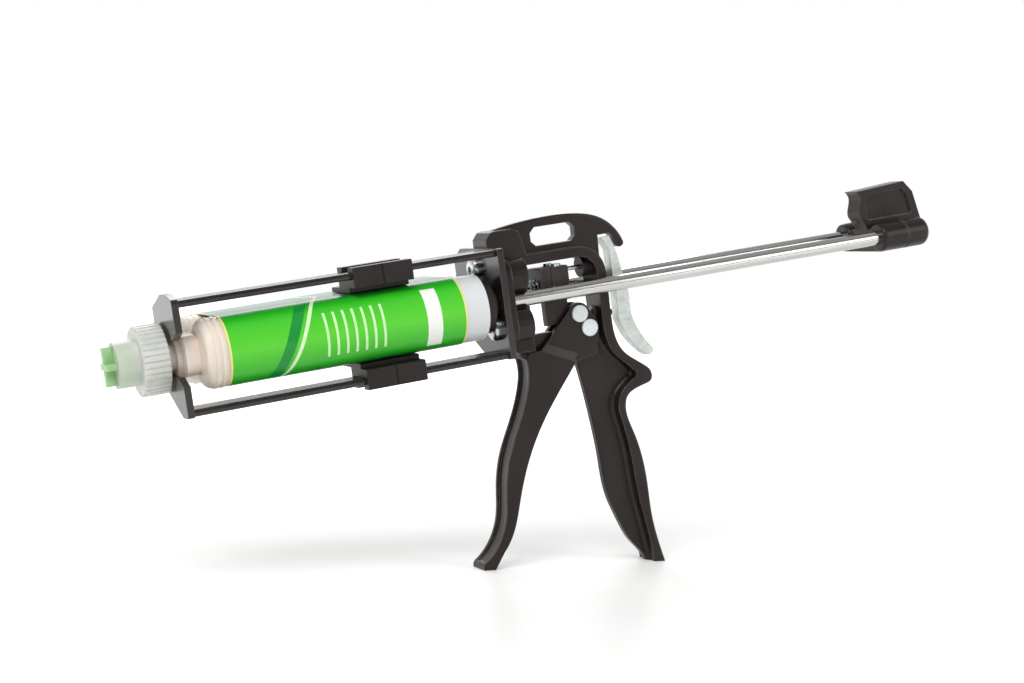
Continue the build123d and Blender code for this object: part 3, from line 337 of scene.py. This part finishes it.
# printed shrink sleeve: glossy film whose green runs darkest on the inner sides between the barrels and
# brightest on the outer side, with slanted stripes, blank panel and rules;
# Mm bands run from the sleeve's front, Turn bands go round a barrel from 0 below to 1 above
sleevePrint = {
    "roughness": 0.36, "ior": 1.5, "specular": 0.35, "coat": 0.15, "coatRoughness": 0.08,
    "field": [(0.0, "#06661d"), (0.1, "#0a8f22"), (0.24, "#35b626"), (0.52, "#58cd30"), (0.78, "#2ebb1c"),
              (0.92, "#0c9626"), (1.0, "#5f8f7c")],
    "stripeMm": (16.0, 22.0), "stripeColour": "#0b8f33", "lineMm": (24.0, 26.0), "lineColour": "#d8f2c4",
    "slantMm": 26.0,
    "ruleMm": (50.0, 82.0), "ruleTurn": (0.3, 0.72), "ruleWidthMm": 1.3, "rulePitchMm": 5.0,
    "ruleColour": "#c9f0b4",
    "panelMm": (104.0, 112.0), "panelTurn": (0.2, 0.8), "panelColour": "#f1f1ec",
    "edgeMm": 1.1, "edgeColour": "#e9dc8c",
    "rippleMm": 22.0, "rippleDepthMm": 0.4, "rippleStrength": 0.25,
}


def printedSleeve(name, look):
    material, tree, shader = newMaterial(name, {
        "Roughness": look["roughness"], "IOR": look["ior"], "Specular IOR Level": look["specular"],
        "Coat Weight": look["coat"], "Coat Roughness": look["coatRoughness"],
    })
    # a barrel's own axis is the rod's: run goes along it, turn goes round it
    front, rear = reachAlong("cartridge_label")
    rodMiddle = middleOf("push_rod_near")
    along = barrelCoords(tree)
    fromFront = addNode(tree, "ShaderNodeVectorMath", {"operation": "SUBTRACT"},
                        {0: along, 1: (front, 0, rodMiddle.dot(upDir))})
    ways = addNode(tree, "ShaderNodeSeparateXYZ", None, {"Vector": fromFront.outputs["Vector"]})
    run = ways.outputs["X"]
    apart = addNode(tree, "ShaderNodeMath", {"operation": "ABSOLUTE"}, {0: ways.outputs["Y"]})
    side = addNode(tree, "ShaderNodeMath", {"operation": "SUBTRACT"},
                   {0: apart.outputs["Value"], 1: abs(rodMiddle.y)})
    angle = addNode(tree, "ShaderNodeMath", {"operation": "ARCTAN2"},
                    {0: ways.outputs["Z"], 1: side.outputs["Value"]})
    turn = addNode(tree, "ShaderNodeMath", {"operation": "MULTIPLY_ADD"},
                   {0: angle.outputs["Value"], 1: 1 / math.pi, 2: 0.5}).outputs["Value"]

    # prints an ink over the rest where every band holds: a band is a value and the two ends it lies between
    def printInk(below, ink, bands):
        cover = 1.0
        for value, (low, high) in bands:
            inside = addNode(tree, "ShaderNodeMath", {"operation": "COMPARE"},
                             {0: value, 1: (low + high) / 2, 2: (high - low) / 2})
            cover = addNode(tree, "ShaderNodeMath", {"operation": "MULTIPLY"},
                            {0: cover, 1: inside.outputs["Value"]}).outputs["Value"]
        return addNode(tree, "ShaderNodeMix", {"data_type": "RGBA"},
                       {"Factor": cover, "A": below, "B": hexColour(ink)}).outputs["Result"]

    # the green round each barrel: darkest on the inner sides, between the barrels, and brightest on the outer
    # side
    colour = addNode(tree, "ShaderNodeValToRGB", None, {"Fac": turn}, look["field"]).outputs["Color"]
    slanted = addNode(tree, "ShaderNodeMath", {"operation": "MULTIPLY_ADD"},
                      {0: turn, 1: -look["slantMm"] * mm, 2: run}).outputs["Value"]
    colour = printInk(colour, look["stripeColour"], [(slanted, inMetres(look["stripeMm"]))])
    colour = printInk(colour, look["lineColour"], [(slanted, inMetres(look["lineMm"]))])
    ruleRun = addNode(tree, "ShaderNodeMath", {"operation": "WRAP"},
                      {0: run, 1: look["rulePitchMm"] * mm, 2: 0.0}).outputs["Value"]
    colour = printInk(colour, look["ruleColour"], [
        (ruleRun, (0.0, look["ruleWidthMm"] * mm)), (run, inMetres(look["ruleMm"])), (turn, look["ruleTurn"]),
    ])
    colour = printInk(colour, look["panelColour"], [
        (run, inMetres(look["panelMm"])), (turn, look["panelTurn"]),
    ])
    edge = look["edgeMm"] * mm
    for tip in (0.0, rear - front):
        colour = printInk(colour, look["edgeColour"], [(run, (tip - edge, tip + edge))])
    tree.links.new(colour, shader.inputs["Base Color"])
    # the film follows the barrels with a slight ripple
    ripple = addNode(tree, "ShaderNodeTexNoise", None,
                     {"Vector": along, "Scale": 1 / (look["rippleMm"] * mm)})
    bump = addNode(tree, "ShaderNodeBump", None, {
        "Height": ripple.outputs["Fac"], "Strength": look["rippleStrength"],
        "Distance": look["rippleDepthMm"] * mm,
    })
    for socket in ("Normal", "Coat Normal"):
        tree.links.new(bump.outputs["Normal"], shader.inputs[socket])
    return material


# which finish each piece of the gun wears
finishes = {
    powderCoat("satin black powder coat on casting", castingCoat): ["main_frame", "trigger", "yoke"],
    powderCoat("satin black powder coat on sheet", plateCoat): [
        "front_plate", "rear_plate", "upper_bar", "lower_bar"],
    powderCoat("black glass-filled nylon", nylonSkin): [
        "upper_clip", "lower_clip", "guide_bush", "plunger_near", "plunger_far"],
    powderCoat("black oxide sintered steel", oxideSteel): ["drive_block"],
    platedSteel("bright zinc on drawn bar", rodPlate): ["push_rod_near", "push_rod_far"],
    platedSteel("bright zinc on fasteners", zincPlate): [
        "plate_screws", "drive_roller", "drive_pawls", "pawl_screws", "guide_pin", "plunger_screws",
        "yoke_screws", "return_spring"],
    platedSteel("white chromate zinc on pins", pinPlate): ["trigger_pivot_pin", "drive_pin"],
    platedSteel("pale zinc on pressed sheet", leverPlate): ["release_lever"],
    milkyBarrel("moulded polypropylene", barrelWall): ["cartridge_body"],
    printedSleeve("printed polyester sleeve", sleevePrint): ["cartridge_label"],
    waxyPlastic("milky polyethylene", "retaining_nut", nutSkin): ["retaining_nut"],
    waxyPlastic("pale green polyethylene", "outlet_plug", plugSkin): ["outlet_plug"],
    grainySkin("white moulded polyethylene", pistonSkin): ["piston_near", "piston_far"],
    grainySkin("nitrile rubber", sealRubber): ["piston_seals"],
    grainySkin("sintered bronze", bushBronze): ["rod_bushes"],
}
for material, names in finishes.items():
    for name in names:
        for slot in nodes[name].material_slots:
            slot.material = material
print("finishes:", len(finishes))


# a merged copy of a CAD node, left selected and active, to be worked on as a piece of its own
def mergedCopy(nodeName, look):
    node = nodes[nodeName]
    piece = bpy.data.objects.new(look["name"], node.data.copy())
    piece.matrix_world = node.matrix_world
    bpy.context.scene.collection.objects.link(piece)
    piece.data.materials.clear()
    piece.data.materials.append(node.material_slots[0].material)
    bpy.ops.object.select_all(action="DESELECT")
    piece.select_set(True)
    bpy.context.view_layer.objects.active = piece
    bpy.ops.object.transform_apply(location=True, rotation=True, scale=True)
    bpy.ops.object.mode_set(mode="EDIT")
    bpy.ops.mesh.select_all(action="SELECT")
    bpy.ops.mesh.remove_doubles(threshold=look["mergeMm"] * mm)
    bpy.ops.object.mode_set(mode="OBJECT")
    return piece


springCoil = {"name": "return_coil", "mergeMm": 0.001, "smoothDegrees": 40.0}


# the return spring is shown by a merged, smoothed copy, and the CAD node is hidden
def closeSpring(look):
    coil = mergedCopy("return_spring", look)
    bpy.ops.object.shade_smooth_by_angle(angle=math.radians(look["smoothDegrees"]))
    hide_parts("return_spring")
    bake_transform(coil)


leverPressing = {"name": "lever_pressing", "mergeMm": 0.001, "smoothDegrees": 35.0, "heelMm": 2.7,
                 "tipMm": 1.65, "tipSteps": 6, "flatDegrees": 0.5, "nearMm": 0.05}


# the thumb end of the lever is rounded over: the edges across its heel and its tip get a bevel
def roundLeverTip(look):
    lever = mergedCopy("release_lever", look)
    mesh = lever.data
    bpy.ops.object.mode_set(mode="EDIT")
    bpy.ops.mesh.dissolve_limited(angle_limit=math.radians(look["flatDegrees"]))
    bpy.ops.mesh.select_mode(type="EDGE")
    bpy.ops.object.mode_set(mode="OBJECT")
    for outward, size in ((axisDir, look["heelMm"]), (-upDir, look["tipMm"])):
        bpy.ops.object.mode_set(mode="EDIT")
        bpy.ops.mesh.select_all(action="DESELECT")
        bpy.ops.object.mode_set(mode="OBJECT")
        limit = max(vertex.co.dot(outward) for vertex in mesh.vertices) - look["nearMm"] * mm
        for edge in mesh.edges:
            edge.select = all(mesh.vertices[i].co.dot(outward) > limit for i in edge.vertices)
        bpy.ops.object.mode_set(mode="EDIT")
        bpy.ops.mesh.bevel(offset=size * mm, segments=look["tipSteps"], profile=0.5, affect="EDGES",
                           clamp_overlap=False)
        bpy.ops.object.mode_set(mode="OBJECT")
    bpy.ops.object.shade_smooth_by_angle(angle=math.radians(look["smoothDegrees"]))
    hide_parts("release_lever")
    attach(lever, "lever")


closeSpring(springCoil)
roundLeverTip(leverPressing)
print("spring and lever ready")


# white acrylic table: keeps the shadow and a faint, even mirror of the feet, and runs out to white
tableTop = {"size": 12.0, "colour": "#f2f2f1", "roughness": 0.6, "mirrorShare": 0.12, "mirrorRoughness": 0.25,
            "lift": 0.13, "sweepMm": (400.0, 1500.0)}


def layTable(look):
    bpy.ops.object.select_all(action="DESELECT")
    bpy.ops.mesh.primitive_plane_add(size=look["size"], location=(0, 0, 0))
    table = bpy.context.object
    table.name = "table"
    material, tree, shader = newMaterial("white acrylic", {
        "Base Color": hexColour(look["colour"]), "Roughness": look["roughness"], "Specular IOR Level": 0.0,
    })
    ray = addNode(tree, "ShaderNodeLightPath")
    place = addNode(tree, "ShaderNodeTexCoord").outputs["Object"]
    away = addNode(tree, "ShaderNodeVectorMath", {"operation": "LENGTH"}, {0: place})
    sweepStart, sweepEnd = inMetres(look["sweepMm"])
    sweep = addNode(tree, "ShaderNodeMapRange", {"interpolation_type": "SMOOTHSTEP"}, {
        "Value": away.outputs["Value"], "From Min": sweepStart, "From Max": sweepEnd,
        "To Min": look["lift"], "To Max": 1.0,
    })
    lift = addNode(tree, "ShaderNodeEmission", None,
                   {"Color": (1, 1, 1, 1), "Strength": sweep.outputs["Result"]})
    none = addNode(tree, "ShaderNodeEmission", None, {"Strength": 0.0})
    mirrored = addNode(tree, "ShaderNodeMath", {"operation": "MAXIMUM"},
                       {0: ray.outputs["Is Glossy Ray"], 1: ray.outputs["Is Transmission Ray"]})
    lifted = addNode(tree, "ShaderNodeMath", {"operation": "MAXIMUM"},
                     {0: ray.outputs["Is Camera Ray"], 1: mirrored.outputs["Value"]})
    seen = addNode(tree, "ShaderNodeMixShader", None,
                   {0: lifted.outputs["Value"], 1: none.outputs["Emission"], 2: lift.outputs["Emission"]})
    mirror = addNode(tree, "ShaderNodeBsdfGlossy", None, {"Roughness": look["mirrorRoughness"]})
    top = addNode(tree, "ShaderNodeMixShader", None,
                  {0: look["mirrorShare"], 1: shader.outputs["BSDF"], 2: mirror.outputs["BSDF"]})
    both = addNode(tree, "ShaderNodeAddShader", None, {0: top.outputs["Shader"], 1: seen.outputs["Shader"]})
    tree.links.new(both.outputs["Shader"], tree.nodes["Material Output"].inputs["Surface"])
    table.data.materials.append(material)


# soft studio light: a white room. What gloss mirrors is dim behind the camera and overhead, for depth
roomLight = {"fill": 0.5, "darkSide": 0.16, "darkFrom": -0.25, "darkTo": -0.85, "ceiling": 0.45,
             "ceilingFrom": 0.3, "ceilingTo": 0.75}


def lightRoom(look):
    world = bpy.data.worlds.new("white room")
    bpy.context.scene.world = world
    world.use_nodes = True
    tree = world.node_tree
    ray = addNode(tree, "ShaderNodeLightPath")
    heading = addNode(tree, "ShaderNodeTexCoord").outputs["Generated"]
    ways = addNode(tree, "ShaderNodeSeparateXYZ", None, {"Vector": heading})
    walls = addNode(tree, "ShaderNodeMapRange", {"interpolation_type": "SMOOTHSTEP"}, {
        "Value": ways.outputs["Y"], "From Min": look["darkTo"], "From Max": look["darkFrom"],
        "To Min": look["darkSide"], "To Max": 1.0,
    })
    ceiling = addNode(tree, "ShaderNodeMapRange", {"interpolation_type": "SMOOTHSTEP"}, {
        "Value": ways.outputs["Z"], "From Min": look["ceilingFrom"], "From Max": look["ceilingTo"],
        "To Min": 1.0, "To Max": look["ceiling"],
    })
    mirrored = addNode(tree, "ShaderNodeMath", {"operation": "MULTIPLY"},
                       {0: walls.outputs["Result"], 1: ceiling.outputs["Result"]})
    seen = addNode(tree, "ShaderNodeMath", {"operation": "MAXIMUM"},
                   {0: ray.outputs["Is Camera Ray"], 1: ray.outputs["Is Transmission Ray"]})
    plain = addNode(tree, "ShaderNodeMapRange", None,
                    {"Value": seen.outputs["Value"], "To Min": look["fill"], "To Max": 1.0})
    strength = addNode(tree, "ShaderNodeMix", {"data_type": "FLOAT"}, {
        "Factor": ray.outputs["Is Glossy Ray"], "A": plain.outputs["Result"], "B": mirrored.outputs["Value"],
    })
    background = tree.nodes["Background"]
    background.inputs["Color"].default_value = (1, 1, 1, 1)
    tree.links.new(strength.outputs["Result"], background.inputs["Strength"])


lamps = {
    "keyLamp": {"place": (-0.9, -0.9, 1.3), "size": 0.9, "power": 16.0},
    "fillLamp": {"place": (0.9, -1.1, 0.7), "size": 0.8, "power": 5.0},
    "rimLamp": {"place": (0.2, 1.2, 1.1), "size": 0.9, "power": 9.0},
}


def hangLamps():
    aim = middleOf("main_frame")
    for name, lamp in lamps.items():
        light = bpy.data.lights.new(name, "AREA")
        light.size = lamp["size"]
        light.energy = lamp["power"]
        holder = bpy.data.objects.new(name, light)
        bpy.context.scene.collection.objects.link(holder)
        holder.location = lamp["place"]
        holder.rotation_euler = (aim - Vector(lamp["place"])).to_track_quat("-Z", "Y").to_euler()


layTable(tableTop)
lightRoom(roomLight)
hangLamps()
print("light and table ready")

# the photograph's camera: a short telephoto about a metre away, rolled slightly
cameraView = {"place": (-0.5007, -0.9284, 0.16625), "aim": (-0.0937, -0.0160, 0.12222), "rollDegrees": 0.9,
              "lensMm": 66.8, "sensorMm": 36.0}


def setCamera(view):
    lens = bpy.data.cameras.new("camera")
    lens.lens = view["lensMm"]
    lens.sensor_width = view["sensorMm"]
    camera = bpy.data.objects.new("camera", lens)
    bpy.context.scene.collection.objects.link(camera)
    camera.location = view["place"]
    look = (Vector(view["aim"]) - Vector(view["place"])).to_track_quat("-Z", "Y").to_matrix().to_4x4()
    roll = Matrix.Rotation(math.radians(view["rollDegrees"]), 4, "Z")
    camera.rotation_euler = (look @ roll).to_euler()
    bpy.context.scene.camera = camera


setCamera(cameraView)
bpy.context.scene.view_settings.view_transform = "Standard"
